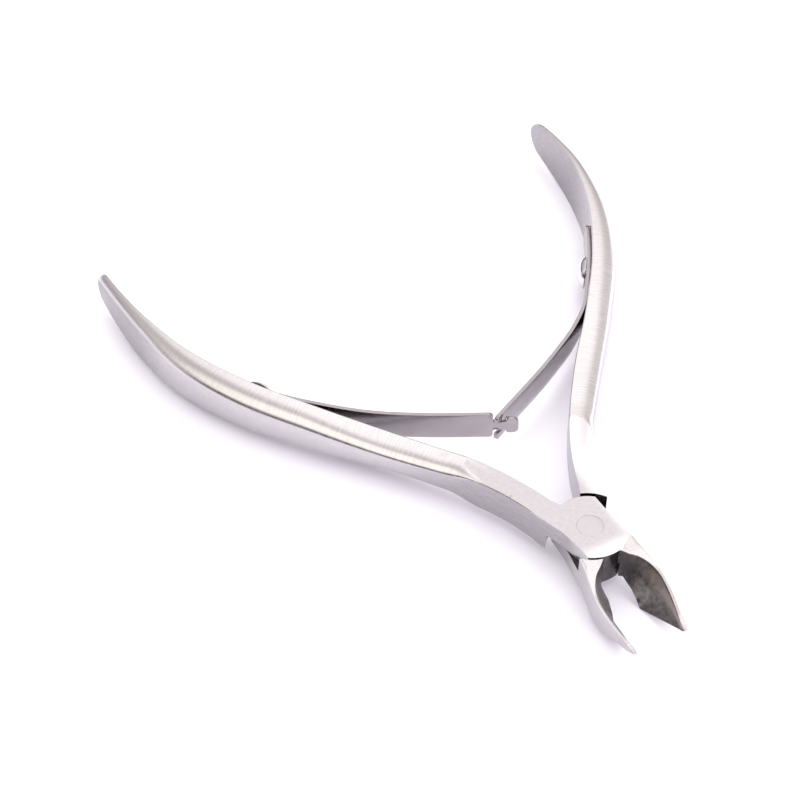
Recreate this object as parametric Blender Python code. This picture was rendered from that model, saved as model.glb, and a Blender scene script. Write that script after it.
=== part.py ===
"""Cuticle nipper: two crossed levers on a flush pivot rivet, spread by two interlocking leaf springs.

Frame: the pivot axis is x = y = 0 and stands along +Z, the handles reach towards +Y, the jaws
towards -Y, and z = 0 is the underside of the lap joint. Tables and constants are in millimetres.
"""
import math

import bmesh
import bpy
from mathutils import Matrix, Vector

MM = 0.001

# Lap joint
JOINT_THICKNESS = 5.5
LAP_GAP = 0.1
POCKET_RADIUS = 5.75
LAP_BACK_RADIUS = 5.25
LAP_FRONT_RADIUS = 5.5
MID_Z = JOINT_THICKNESS / 2

# Pivot rivet, flush on both sides
RIVET_SHANK_RADIUS = 1.5
RIVET_HEAD_RADIUS = 1.85
RIVET_HEAD_DEPTH = 0.6
RIVET_CLEARANCE = 0.05

# Sides of the round shapes
RIVET_SEGMENTS = 40
POCKET_SEGMENTS = 72
HOLE_SEGMENTS = 24
HEAD_SEGMENTS = 32
CUT_PAST = 1.0

# Handle and neck, read along the flat inner face:
# (y, distance of the inner face from the centre line, depth outwards, width in z, squareness)
HANDLE_TABLE = (
    (6.0, 2.25, 3.3, 5.9, 16.0),
    (9.0, 3.3, 3.3, 5.9, 16.0),
    (12.0, 4.6, 3.3, 5.9, 16.0),
    (15.0, 6.15, 3.4, 5.9, 13.0),
    (18.0, 7.95, 3.55, 5.6, 4.6),
    (21.5, 10.3, 3.8, 4.9, 3.6),
    (28.4, 15.6, 4.05, 4.8, 3.2),
    (36.7, 22.7, 3.95, 6.6, 3.0),
    (45.8, 29.4, 3.95, 7.4, 3.0),
    (55.0, 34.5, 3.4, 8.1, 3.0),
    (64.0, 37.5, 2.3, 8.9, 3.0),
    (71.5, 38.6, 1.8, 7.7, 2.8),
    (79.9, 39.0, 1.5, 5.2, 2.6),
)
GROUND_END = 20.0
TIP_ROUNDING = 2.8
ROUND_OFF = 1e-9
TIP_STATIONS = (79.9, 79.7, 79.3, 78.6, 77.6, 76.0, 73.5, 70.5)
GRIP_STEP = 3.5
GRIP_STEPS = 12
NECK_STATIONS = (25.5, 23.0, 21.0, 19.9, 18.5, 17.0, 15.0, 12.5, 9.5, 6.6)

# Lap plate, as pairs of points on its two long sides, from the neck to the throat
LAP_SIDE_PAIRS = (
    ((-3.7, 0.0), (3.46, 2.2)),
    ((-3.5, -1.3), (3.56, 0.4)),
    ((-3.28, -2.6), (3.74, -1.2)),
)
LAP_BACK_ANGLES = (108.0, 96.0, 84.0, 72.0, 61.0, 50.0)
LAP_FRONT_ANGLES = (235.0, 244.0, 253.0, 263.0, 273.0, 282.0)
NECK_ROOT = (-5.25, 4.4)
NECK_FOOT = (-3.82, 0.6)
SHOULDER_START = (3.95, -2.4)
SHOULDER_END = (4.38, -5.5)
SHOULDER_DIP = 0.35

# Jaw: (y, edge x, edge z, rim x, rim z, outer x, top z, bottom z, hollow depth)
JAW_TABLE = (
    (-6.1, 1.75, 0.3, 2.15, 5.05, 4.5, 4.95, -0.1, 0.0),
    (-6.9, 1.75, 0.1, 3.3, 4.65, 4.7, 4.65, -0.25, 0.1),
    (-8.2, 1.82, -0.2, 4.25, 4.1, 4.95, 4.15, -0.6, 0.35),
    (-9.4, 1.95, -1.25, 4.65, 3.7, 5.12, 3.8, -1.0, 0.5),
    (-10.2, 2.09, -2.4, 4.78, 3.42, 5.18, 3.52, -1.2, 0.55),
    (-11.6, 2.37, -1.83, 4.75, 2.95, 5.15, 3.05, -0.95, 0.55),
    (-13.2, 2.69, -1.2, 4.55, 2.4, 4.98, 2.52, -0.6, 0.45),
    (-15.0, 3.06, -0.48, 4.2, 1.8, 4.65, 1.92, -0.1, 0.3),
    (-16.6, 3.38, 0.14, 3.8, 1.3, 4.5, 1.4, 0.3, 0.12),
    (-17.6, 3.56, 0.5, 3.68, 0.98, 4.28, 1.1, 0.6, 0.02),
)
JAW_TIP = (3.86, -17.95, 0.8)
JAW_STEPS = 3

# Points on each side of a lever's section
WALL_STEPS = 8
FACE_STEPS = 5
BACK_STEPS = 5

# Leaf springs. By side: gap to the handle's face, places along the face, then points to the middle
LEAF_THICKNESS = 0.55
LEAF_WIDTH = 4.6
LEAF_LIFT = {-1: 0.35, 1: 0.1}
LEAF_FOOT = {-1: (53.0, 49.0, 44.8, 42.8), 1: (53.0, 49.0, 44.8, 41.0, 37.2)}
LEAF_FREE = {
    -1: ((-23.6, 39.6), (-16.6, 33.4), (-9.2, 28.7), (0.0, 23.85)),
    1: ((-18.5, 33.8), (-14.2, 31.15), (-9.5, 28.55), (0.0, 23.85)),
}
LEAF_RUN_OUT = 4.0
LEAF_HINGE_Y = 41.0
LEAF_STEP = 1.4
LEAF_FOOT_ROUNDING = ((0.0, 0.45), (0.25, 0.75), (0.7, 0.95), (1.3, 1.0))
TONGUE_NECK = 0.75
TONGUE_HEAD = 1.4
TONGUE_START = -1.0
TONGUE_HEAD_START = 0.95
TONGUE_END = 2.7
FORK_SLOT = 1.1
FORK_ROOT = -1.4
FORK_END = 1.05
SLOT_REACH = 1.5

# Rivets that hold the springs to the handles
SPRING_RIVET_Y = 44.8
SPRING_RIVET_SHANK = 1.0
SPRING_RIVET_HEAD = 2.6
SPRING_RIVET_HEIGHT = 1.4
SPRING_RIVET_DEPTH = 2.2
SPRING_RIVET_FIT = 0.1
SPRING_RIVET_SEAT = 0.15
DOME_STEPS = 5
DOME_START = 15.0


# ---------------------------------------------------------------- curves

def tangent(table, index, column):
    """Slope of one column at a row of a table, from the rows on either side."""
    low = max(index - 1, 0)
    high = min(index + 1, len(table) - 1)
    return (table[high][column] - table[low][column]) / (table[high][0] - table[low][0])


def hermite(table, column, at):
    """Smooth value of a column at a place along a table sorted by its first column."""
    index = 0
    while index < len(table) - 2 and at > table[index + 1][0]:
        index += 1
    start, end = table[index], table[index + 1]
    span = end[0] - start[0]
    t = (at - start[0]) / span
    slope_0 = tangent(table, index, column) * span
    slope_1 = tangent(table, index + 1, column) * span
    return (
        (2 * t**3 - 3 * t**2 + 1) * start[column]
        + (t**3 - 2 * t**2 + t) * slope_0
        + (3 * t**2 - 2 * t**3) * end[column]
        + (t**3 - t**2) * slope_1
    )


def inner_face(y):
    """Point and outward normal of the left handle's inner face."""
    step = 0.05
    low, high = HANDLE_TABLE[0][0], HANDLE_TABLE[-1][0]
    before, after = max(y - step, low), min(y + step, high)
    rise = hermite(HANDLE_TABLE, 1, after) - hermite(HANDLE_TABLE, 1, before)
    slope = rise / (after - before)
    point = Vector((-hermite(HANDLE_TABLE, 1, y), y))
    normal = Vector((-1.0, -slope)).normalized()
    return point, normal


def polar(radius, degrees):
    """Plan point on a circle round the pivot."""
    angle = math.radians(degrees)
    return radius * math.cos(angle), radius * math.sin(angle)


# ---------------------------------------------------------------- lever sections

def handle_ring(y):
    """D-shaped section: flat inner face, crowned outer side, ground flat near the joint."""
    point, normal = inner_face(y)
    depth, width, square = (hermite(HANDLE_TABLE, column, y) for column in (2, 3, 4))
    end = HANDLE_TABLE[-1][0]
    left = min(max((end - y) / TIP_ROUNDING, 0.0), 1.0)
    taper = max(math.sqrt(1 - (1 - left) ** 2), 0.3)
    ring = []

    def add(degrees):
        angle = math.radians(degrees)
        out = max(math.cos(angle) - ROUND_OFF, 0.0) ** (2 / square)
        up = math.copysign(abs(math.sin(angle)) ** (2 / square), angle)
        plan = point + normal * depth * out * max(taper, 0.5)
        z = MID_Z + width / 2 * up * taper
        if y < GROUND_END:
            z = min(max(z, 0.0), JOINT_THICKNESS)
        ring.append((plan.x, plan.y, z))

    for step in range(WALL_STEPS):
        add(-45 + 90 * step / WALL_STEPS)
    for step in range(FACE_STEPS):
        add(45 + 45 * step / FACE_STEPS)
    top, bottom = MID_Z + width / 2 * taper, MID_Z - width / 2 * taper
    if y < GROUND_END:
        top, bottom = min(top, JOINT_THICKNESS), max(bottom, 0.0)
    for step in range(BACK_STEPS):
        ring.append((point.x, point.y, top + (bottom - top) * step / BACK_STEPS))
    for step in range(FACE_STEPS):
        add(-90 + 45 * step / FACE_STEPS)
    return ring


def four_sided_ring(left_low, left_high, right_high, right_low, hollow=0.0):
    """Section with four corners, whose left side can be hollowed."""
    ring = []
    sides = (
        (left_low, left_high, WALL_STEPS, -hollow),
        (left_high, right_high, FACE_STEPS, 0.0),
        (right_high, right_low, BACK_STEPS, 0.0),
        (right_low, left_low, FACE_STEPS, 0.0),
    )
    for start, end, steps, bulge in sides:
        along = Vector(end) - Vector(start)
        outward = Vector((-along.z, 0.0, along.x)).normalized()
        for step in range(steps):
            t = step / steps
            ring.append(tuple(Vector(start) + along * t + outward * bulge * 4 * t * (1 - t)))
    return ring


def plate_ring(left, right, right_top=JOINT_THICKNESS):
    """Section of the lap plate between a point on its left side and one on its right side."""
    left_top = JOINT_THICKNESS
    return four_sided_ring((*left, 0.0), (*left, left_top), (*right, right_top), (*right, 0.0))


def lap_rings():
    """Sections that fan round the joint, from the neck to the throat of the jaws."""
    pairs = []
    for index, angle in enumerate(LAP_BACK_ANGLES):
        t = index / (len(LAP_BACK_ANGLES) - 1)
        left = Vector(NECK_ROOT).lerp(Vector(NECK_FOOT), t)
        pairs.append((tuple(left), polar(LAP_BACK_RADIUS, angle)))
    pairs.extend(LAP_SIDE_PAIRS)
    rings = [plate_ring(left, right) for left, right in pairs]
    for index, angle in enumerate(LAP_FRONT_ANGLES):
        t = index / (len(LAP_FRONT_ANGLES) - 1)
        right = Vector(SHOULDER_START).lerp(Vector(SHOULDER_END), t)
        dip = SHOULDER_DIP * t**2
        left = polar(LAP_FRONT_RADIUS, angle)
        rings.append(plate_ring(left, tuple(right), right_top=JOINT_THICKNESS - dip))
    return rings


def jaw_ring(row):
    """Section of the right-hand jaw: cutting edge, hollow, rim, top, outer side and underside."""
    y, edge_x, edge_z, rim_x, rim_z, outer_x, top_z, bottom_z, hollow = row
    return four_sided_ring(
        (edge_x, y, edge_z),
        (rim_x, y, rim_z),
        (outer_x, y, top_z),
        (outer_x, y, bottom_z),
        hollow,
    )


def jaw_rows():
    """Rows of the jaw table with steps between them; the edge is straight from heel to tip."""
    ordered = sorted(JAW_TABLE)
    rows = []
    for upper, lower in zip(JAW_TABLE, JAW_TABLE[1:]):
        for step in range(JAW_STEPS):
            y = upper[0] + (lower[0] - upper[0]) * step / JAW_STEPS
            row = [y] + [hermite(ordered, column, y) for column in range(1, len(upper))]
            row[2] = upper[2] + (lower[2] - upper[2]) * step / JAW_STEPS
            rows.append(row)
    rows.append(JAW_TABLE[-1])
    return rows


# ---------------------------------------------------------------- mesh helpers

def new_object(name, bm, location=(0.0, 0.0, 0.0)):
    """Object from a bmesh in millimetres, with its origin moved to a place in millimetres."""
    bmesh.ops.translate(bm, verts=bm.verts, vec=-Vector(location))
    bmesh.ops.scale(bm, vec=(MM, MM, MM), verts=bm.verts)
    bmesh.ops.recalc_face_normals(bm, faces=bm.faces)
    mesh = bpy.data.meshes.new(name)
    bm.to_mesh(mesh)
    bm.free()
    obj = bpy.data.objects.new(name, mesh)
    obj.location = Vector(location) * MM
    bpy.context.scene.collection.objects.link(obj)
    return obj


def loft(rings, tip=None):
    """Closed skin over a run of rings, ending in a point if one is given."""
    bm = bmesh.new()
    loops = [[bm.verts.new(point) for point in ring] for ring in rings]
    count = len(loops[0])
    for lower, upper in zip(loops, loops[1:]):
        for index in range(count):
            after = (index + 1) % count
            bm.faces.new((lower[index], lower[after], upper[after], upper[index]))
    bm.faces.new(loops[0])
    if tip is None:
        bm.faces.new(loops[-1])
    else:
        point = bm.verts.new(tip)
        for index in range(count):
            bm.faces.new((loops[-1][index], loops[-1][(index + 1) % count], point))
    return bm


def turned(profile, segments):
    """Solid of revolution about Z from (radius, z) points, first and last at radius zero."""
    bm = bmesh.new()
    rings = []
    for radius, z in profile[1:-1]:
        ring = []
        for index in range(segments):
            angle = math.tau * index / segments
            ring.append(bm.verts.new((radius * math.cos(angle), radius * math.sin(angle), z)))
        rings.append(ring)
    for lower, upper in zip(rings, rings[1:]):
        for index in range(segments):
            after = (index + 1) % segments
            bm.faces.new((lower[index], lower[after], upper[after], upper[index]))
    for (radius, z), ring in ((profile[0], rings[0]), (profile[-1], rings[-1])):
        middle = bm.verts.new((0.0, 0.0, z))
        for index in range(segments):
            bm.faces.new((ring[index], ring[(index + 1) % segments], middle))
    return bm


def cut(obj, cutter):
    """Boolean difference that keeps the cutter as a hidden guide."""
    cutter.hide_render = True
    cutter.display_type = "WIRE"
    modifier = obj.modifiers.new(cutter.name, "BOOLEAN")
    modifier.operation = "DIFFERENCE"
    modifier.solver = "EXACT"
    modifier.object = cutter


def material(name, colour, roughness):
    """Plain steel finish."""
    made = bpy.data.materials.new(name)
    made.use_nodes = True
    shader = made.node_tree.nodes["Principled BSDF"]
    shader.inputs["Base Color"].default_value = (*colour, 1.0)
    shader.inputs["Roughness"].default_value = roughness
    shader.inputs["Metallic"].default_value = 1.0
    return made


def finish(obj, colour, roughness, sharp_degrees=35.0):
    """Give a piece its own finish and smooth its round faces."""
    obj.data.materials.append(material(obj.name, colour, roughness))
    obj.data.shade_smooth()
    obj.data.set_sharp_from_angle(angle=math.radians(sharp_degrees))


def rivet_axis(side):
    """Place on the handle's inner face and matrix whose Z points from the face to the middle."""
    point, normal = inner_face(SPRING_RIVET_Y)
    inward = Vector((-normal.x * -side, -normal.y, 0.0))
    across = Vector((0.0, 0.0, 1.0)).cross(inward)
    turn = Matrix((across, Vector((0.0, 0.0, 1.0)), inward)).transposed().to_4x4()
    place = Vector((point.x * -side, point.y, MID_Z))
    return place, turn


# ---------------------------------------------------------------- pieces

def pocket_profile(upper):
    """Profile of the disc cut out of a lever for the other lever's lap."""
    if upper:
        low, high = MID_Z - LAP_GAP / 2, JOINT_THICKNESS + CUT_PAST
    else:
        low, high = -CUT_PAST, MID_Z + LAP_GAP / 2
    return ((0.0, low), (POCKET_RADIUS, low), (POCKET_RADIUS, high), (0.0, high))


def bore_profile():
    """Hole for the pivot rivet, countersunk at both faces."""
    shank = RIVET_SHANK_RADIUS + RIVET_CLEARANCE
    head = RIVET_HEAD_RADIUS + RIVET_CLEARANCE
    top = JOINT_THICKNESS
    return (
        (0.0, -CUT_PAST),
        (head, -CUT_PAST),
        (head, 0.0),
        (shank, RIVET_HEAD_DEPTH),
        (shank, top - RIVET_HEAD_DEPTH),
        (head, top),
        (head, top + CUT_PAST),
        (0.0, top + CUT_PAST),
    )


def make_rivet_hole(name, side, low):
    """Cutter for a spring rivet's hole, from a height below the handle's face to well above it."""
    radius = SPRING_RIVET_SHANK + SPRING_RIVET_FIT
    high = 2 * CUT_PAST
    profile = ((0.0, low), (radius, low), (radius, high), (0.0, high))
    hole = new_object(name + ".hole", turned(profile, HOLE_SEGMENTS))
    place, turn = rivet_axis(side)
    hole.matrix_world = Matrix.Translation(place * MM) @ turn
    return hole


def make_lever(name, side):
    """One lever: side -1 has its handle at -X and the upper lap, side 1 the lower lap."""
    grip = [TIP_STATIONS[-1] - GRIP_STEP * index for index in range(1, GRIP_STEPS + 1)]
    rings = [handle_ring(y) for y in (*TIP_STATIONS, *grip, *NECK_STATIONS)]
    rings += lap_rings()
    rings += [jaw_ring(row) for row in jaw_rows()]
    bm = loft(rings, JAW_TIP)
    if side > 0:
        bmesh.ops.scale(bm, vec=(-1.0, 1.0, 1.0), verts=bm.verts)
    lever = new_object(name, bm)
    pocket = turned(pocket_profile(side > 0), POCKET_SEGMENTS)
    cut(lever, new_object(name + ".pocket", pocket))
    cut(lever, new_object(name + ".bore", turned(bore_profile(), RIVET_SEGMENTS)))
    depth = SPRING_RIVET_DEPTH + 2 * SPRING_RIVET_FIT
    cut(lever, make_rivet_hole(name, side, -depth))
    finish(lever, (0.78, 0.76, 0.76), 0.32)
    return lever


def make_pivot_rivet():
    """Rivet with a flush countersunk head on each side of the joint."""
    top = JOINT_THICKNESS
    profile = (
        (0.0, 0.0),
        (RIVET_HEAD_RADIUS, 0.0),
        (RIVET_SHANK_RADIUS, RIVET_HEAD_DEPTH),
        (RIVET_SHANK_RADIUS, top - RIVET_HEAD_DEPTH),
        (RIVET_HEAD_RADIUS, top),
        (0.0, top),
    )
    rivet = new_object("pivot_rivet", turned(profile, RIVET_SEGMENTS))
    finish(rivet, (0.8, 0.78, 0.77), 0.3)
    return rivet


def leaf_path(side):
    """Centre line of a leaf, as for the left hand, from its foot to past the middle."""
    lift = LEAF_LIFT[side] + LEAF_THICKNESS / 2
    knots = []
    for y in LEAF_FOOT[side]:
        point, normal = inner_face(y)
        knots.append(point - normal * lift)
    knots.extend(Vector(point) for point in LEAF_FREE[side])
    last = (knots[-1] - knots[-2]).normalized()
    knots.append(knots[-1] + last * LEAF_RUN_OUT)
    lengths = [0.0]
    for before, after in zip(knots, knots[1:]):
        lengths.append(lengths[-1] + (after - before).length)
    zero = lengths[-2]
    return [(length - zero, knot.x, knot.y) for length, knot in zip(lengths, knots)]


def leaf_ring(path, along, low, high):
    """Rectangle across the leaf at a distance along it, counted from the middle."""
    step = 0.02
    here = Vector((hermite(path, 1, along), hermite(path, 2, along)))
    ahead = Vector((hermite(path, 1, along + step), hermite(path, 2, along + step)))
    forward = (ahead - here).normalized()
    side = Vector((-forward.y, forward.x)) * LEAF_THICKNESS / 2
    a, b = here + side, here - side
    return [(a.x, a.y, low), (a.x, a.y, high), (b.x, b.y, high), (b.x, b.y, low)]


def leaf_stations(path, tongue):
    """Places along the leaf with the half width there."""
    half = LEAF_WIDTH / 2
    start = path[0][0]
    stations = [(start + offset, half * share) for offset, share in LEAF_FOOT_ROUNDING]
    straight_end = TONGUE_START - 0.5 if tongue else FORK_ROOT - 0.8
    count = int((straight_end - stations[-1][0]) / LEAF_STEP)
    first = stations[-1][0]
    for index in range(1, count + 1):
        stations.append((first + (straight_end - first) * index / count, half))
    if tongue:
        stations += [
            (TONGUE_START - 0.2, half * 0.93),
            (TONGUE_START - 0.02, half * 0.75),
            (TONGUE_START + 0.02, TONGUE_NECK),
            (TONGUE_HEAD_START, TONGUE_NECK),
            (TONGUE_HEAD_START + 0.04, TONGUE_HEAD * 0.85),
            (TONGUE_HEAD_START + 0.25, TONGUE_HEAD),
            (TONGUE_END - 0.7, TONGUE_HEAD),
            (TONGUE_END - 0.2, TONGUE_HEAD * 0.75),
            (TONGUE_END, TONGUE_HEAD * 0.35),
        ]
    else:
        stations += [
            (FORK_ROOT, half),
            (0.0, half),
            (FORK_END - 0.4, half),
            (FORK_END - 0.1, half - 0.15),
            (FORK_END, half - 0.4),
        ]
    return stations


def make_leaf(name, side):
    """Leaf spring: side -1 ends in a tongue with a head, side 1 in a fork that the tongue hooks."""
    path = leaf_path(side)
    rings = []
    for along, half in leaf_stations(path, side < 0):
        rings.append(leaf_ring(path, along, MID_Z - half, MID_Z + half))
    bm = loft(rings)
    if side > 0:
        bmesh.ops.scale(bm, vec=(-1.0, 1.0, 1.0), verts=bm.verts)
    point, _ = inner_face(LEAF_HINGE_Y)
    leaf = new_object(name, bm, (point.x * -side, point.y, MID_Z))
    cut(leaf, make_rivet_hole(name, side, -CUT_PAST))
    if side > 0:
        cut(leaf, make_fork_cutter(name, path))
    finish(leaf, (0.7, 0.69, 0.7), 0.2)
    return leaf


def make_fork_cutter(name, path):
    """Block that opens the slot between the fork's two prongs."""
    rings = []
    for along in (FORK_ROOT, FORK_END + CUT_PAST):
        here = Vector((hermite(path, 1, along), hermite(path, 2, along)))
        ahead = Vector((hermite(path, 1, along + 0.1), hermite(path, 2, along + 0.1)))
        forward = (ahead - here).normalized()
        across = Vector((-forward.y, forward.x)) * SLOT_REACH
        a, b = here + across, here - across
        low, high = MID_Z - FORK_SLOT, MID_Z + FORK_SLOT
        rings.append([(a.x, a.y, low), (a.x, a.y, high), (b.x, b.y, high), (b.x, b.y, low)])
    bm = loft(rings)
    bmesh.ops.scale(bm, vec=(-1.0, 1.0, 1.0), verts=bm.verts)
    return new_object(name + ".slot", bm)


def make_spring_rivet(name, side):
    """Dome-headed rivet that clamps a leaf's foot to the handle's inner face."""
    seat = LEAF_LIFT[side] + LEAF_THICKNESS + SPRING_RIVET_SEAT
    profile = [(0.0, -SPRING_RIVET_DEPTH), (SPRING_RIVET_SHANK, -SPRING_RIVET_DEPTH)]
    profile += [(SPRING_RIVET_SHANK, seat), (SPRING_RIVET_HEAD, seat)]
    for step in range(DOME_STEPS):
        angle = math.radians(DOME_START + (90 - DOME_START) * step / DOME_STEPS)
        radius = SPRING_RIVET_HEAD * math.cos(angle)
        profile.append((radius, seat + SPRING_RIVET_HEIGHT * math.sin(angle)))
    profile.append((0.0, seat + SPRING_RIVET_HEIGHT))
    place, turn = rivet_axis(side)
    rivet = new_object(name, turned(profile, HEAD_SEGMENTS))
    rivet.matrix_world = Matrix.Translation(place * MM) @ turn
    finish(rivet, (0.78, 0.77, 0.77), 0.15)
    return rivet


def attach(child, parent):
    """Parent a piece and leave it where it stands."""
    bpy.context.view_layer.update()
    child.parent = parent
    child.matrix_parent_inverse = parent.matrix_world.inverted()


def main():
    for obj in list(bpy.data.objects):
        bpy.data.objects.remove(obj, do_unlink=True)
    rivet = make_pivot_rivet()
    for side, word in ((-1, "left"), (1, "right")):
        lever = make_lever("lever_" + word, side)
        leaf = make_leaf("leaf_spring_" + word, side)
        spring_rivet = make_spring_rivet("spring_rivet_" + word, side)
        attach(leaf, lever)
        attach(spring_rivet, lever)
        if side < 0:
            attach(rivet, lever)


main()
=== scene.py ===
"""Looks of a steel cuticle nipper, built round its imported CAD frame.

Tables and constants of shape are in millimetres, in the frame of the CAD part: the pivot axis is
x = y = 0, the handles reach towards +Y, the jaws towards -Y, z = 0 is the lap joint's underside.
"""
import math

import bmesh
import bpy
from mathutils import Matrix, Vector


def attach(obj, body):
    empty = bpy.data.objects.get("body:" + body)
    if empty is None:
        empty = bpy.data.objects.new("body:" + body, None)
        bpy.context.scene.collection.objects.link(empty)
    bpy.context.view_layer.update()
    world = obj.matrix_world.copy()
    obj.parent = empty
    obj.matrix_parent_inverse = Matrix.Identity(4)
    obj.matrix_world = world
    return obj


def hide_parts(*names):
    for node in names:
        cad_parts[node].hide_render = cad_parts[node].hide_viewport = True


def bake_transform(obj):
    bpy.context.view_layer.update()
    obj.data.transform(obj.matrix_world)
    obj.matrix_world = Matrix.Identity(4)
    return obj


MM = 0.001

# Lap joint and pivot rivet
JOINT = 5.5
MID_Z = JOINT / 2
LAP_GAP = 0.1
POCKET_RADIUS = 5.75
LAP_BACK_RADIUS = 5.25
LAP_FRONT_RADIUS = 5.5
RIVET_SHANK = 1.5
RIVET_HEAD = 1.85
RIVET_HEAD_DEPTH = 0.6
RIVET_CLEARANCE = 0.02
RIVET_EDGE = 0.05

# Handle and neck along the flat inner face:
# (y, distance of the inner face from the centre line, depth outwards, width in z, squareness)
HANDLE_TABLE = (
    (6.0, 2.25, 3.3, 5.9, 16.0),
    (9.0, 3.3, 3.3, 5.9, 16.0),
    (12.0, 4.6, 3.3, 5.9, 16.0),
    (15.0, 6.15, 3.4, 5.9, 13.0),
    (18.0, 7.95, 3.55, 5.6, 4.6),
    (21.5, 10.3, 3.8, 4.9, 3.6),
    (28.4, 15.6, 4.05, 4.8, 3.2),
    (36.7, 22.7, 3.95, 6.6, 3.0),
    (45.8, 29.4, 3.95, 7.4, 3.0),
    (55.0, 34.5, 3.4, 8.1, 3.0),
    (64.0, 37.5, 2.3, 8.9, 3.0),
    (71.5, 38.6, 1.8, 7.7, 2.8),
    (79.9, 39.0, 1.5, 5.2, 2.6),
)
TIP_ROUNDING = 2.8
TIP_SHARES = (0.0004, 0.003, 0.012, 0.03, 0.06, 0.1, 0.16, 0.23, 0.32, 0.43, 0.56, 0.7, 0.85, 1.0)
TIP_FLATTENING = 0.6
HANDLE_STEP = 0.6
HANDLE_LAST = 6.6
GROUND_END = 22.5
GROUND_SPARE = 0.12

# Step along the handle over which its slope is measured, either way
SLOPE_STEP = 0.05

# Lap plate
LAP_SIDE_PAIRS = (
    ((-3.7, 0.0), (3.46, 2.2)),
    ((-3.6, -0.65), (3.5, 1.3)),
    ((-3.5, -1.3), (3.56, 0.4)),
    ((-3.4, -1.95), (3.64, -0.4)),
    ((-3.28, -2.6), (3.74, -1.2)),
)
LAP_BACK_ANGLES = (108.0, 50.0)
LAP_FRONT_ANGLES = (235.0, 282.0)
LAP_FAN = 14
NECK_ROOT = (-5.25, 4.4)
NECK_FOOT = (-3.82, 0.6)
SHOULDER_START = (3.95, -2.4)
SHOULDER_END = (4.38, -5.5)
SHOULDER_DIP = 0.35

# Jaw: (y, edge x, edge z, rim x, rim z, outer x, top z, bottom z, hollow depth)
JAW_TABLE = (
    (-6.1, 1.75, 0.3, 2.15, 5.05, 4.5, 4.95, -0.1, 0.0),
    (-6.9, 1.75, 0.1, 3.3, 4.65, 4.7, 4.65, -0.25, 0.1),
    (-8.2, 1.82, -0.2, 4.25, 4.1, 4.95, 4.15, -0.6, 0.35),
    (-9.4, 1.95, -1.25, 4.65, 3.7, 5.12, 3.8, -1.0, 0.5),
    (-10.2, 2.09, -2.4, 4.78, 3.42, 5.18, 3.52, -1.2, 0.55),
    (-11.6, 2.37, -1.83, 4.75, 2.95, 5.15, 3.05, -0.95, 0.55),
    (-13.2, 2.69, -1.2, 4.55, 2.4, 4.98, 2.52, -0.6, 0.45),
    (-15.0, 3.06, -0.48, 4.2, 1.8, 4.65, 1.92, -0.1, 0.3),
    (-16.6, 3.38, 0.14, 3.8, 1.3, 4.5, 1.4, 0.3, 0.12),
    (-17.6, 3.56, 0.5, 3.68, 0.98, 4.28, 1.1, 0.6, 0.02),
)
JAW_TIP = (3.86, -17.95, 0.8)
JAW_STEPS = 7

# Part between the jaws that is painted dark as shade
THROAT_Y = -4.9
THROAT_HALF_WIDTH = 2.2

# Which way a face points, as limits on its normal, and how near it lies to the pocket's wall
FLAT_SLOPE = 0.9
UPRIGHT_BELOW = 0.5
TOWARD_PIVOT = -0.8
TOWARD_JAWS = -0.3
TOWARD_CENTRE = 0.5
WALL_NEAR = 0.1

# Points of a lever's section: on its four sides, and on each rounded corner
SIDE_POINTS = (15, 11, 9, 11)
CORNER_POINTS = 3
HANDLE_CORNERS = (0.3, 0.3, 0.22, 0.22)
PLATE_CORNERS = (0.3, 0.3, 0.3, 0.3)
JAW_CORNERS = (0.05, 0.1, 0.16, 0.16)
LARGEST_CORNER = 0.3
WALL_POINTS = 41
TOP_POINTS = 31
FLAT_POINTS = 25
TINY = 1e-9

# How far the cutters stand out of the lever, and the reach of the two that grind the joint
POCKET_SPARE = 2.0
BORE_SPARE = 1.0
HOLE_SPARE = 0.2
FRONT_SPARE = 0.05
CUTTER_SIDE = 30.0
CUTTER_HEIGHT = 3.0

# Round pieces' segments, and the angles in degrees above which an edge stays a crease
POCKET_SEGMENTS = 180
BORE_SEGMENTS = 96
HEAD_SEGMENTS = 72
HOLE_SEGMENTS = 48
LEVER_CREASE = 24
PIVOT_CREASE = 30
HEAD_CREASE = 40
LEAF_CREASE = 40

# Leaf springs. By side: gap to the handle's face, places along the face, then points to the middle
LEAF_THICKNESS = 0.55
LEAF_WIDTH = 4.6
LEAF_LIFT = {-1: 0.35, 1: 0.1}
LEAF_FOOT = {-1: (53.0, 49.0, 44.8, 42.8), 1: (53.0, 49.0, 44.8, 41.0, 37.2)}
LEAF_FREE = {
    -1: ((-23.6, 39.6), (-16.6, 33.4), (-9.2, 28.7), (0.0, 23.85)),
    1: ((-18.5, 33.8), (-14.2, 31.15), (-9.5, 28.55), (0.0, 23.85)),
}
LEAF_RUN_OUT = 4.0
LEAF_CUT_STEP = 0.7
LEAF_BEVEL = 0.07
LEAF_BEVEL_ANGLE = 50
LEAF_FOOT_RADIUS = 1.3
LEAF_FOOT_POINTS = 9
LEAF_LAST_CUT = 0.1
LEAF_SEARCH = 400
LEAF_AHEAD = 0.02

# Arcs of the leaves' flat outlines: (centre, radius, first and last angle in degrees, points)
TONGUE_SHOULDER = (((-1.55, 1.75), 0.55, 90, 0, 6), ((-0.7, 1.05), 0.3, 180, 270, 4))
TONGUE_NECK_END = (0.85, 0.75)
TONGUE_HEAD = (((1.3, 1.05), 0.35, 180, 90, 6), ((1.85, 0.55), 0.85, 90, 0, 9))
FORK_PRONG = (
    ((0.6, 1.85), 0.45, 90, 0, 6),
    ((0.8, 1.35), 0.25, 0, -90, 4),
    ((-0.9, 0.6), 0.5, 90, 180, 6),
)

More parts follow.
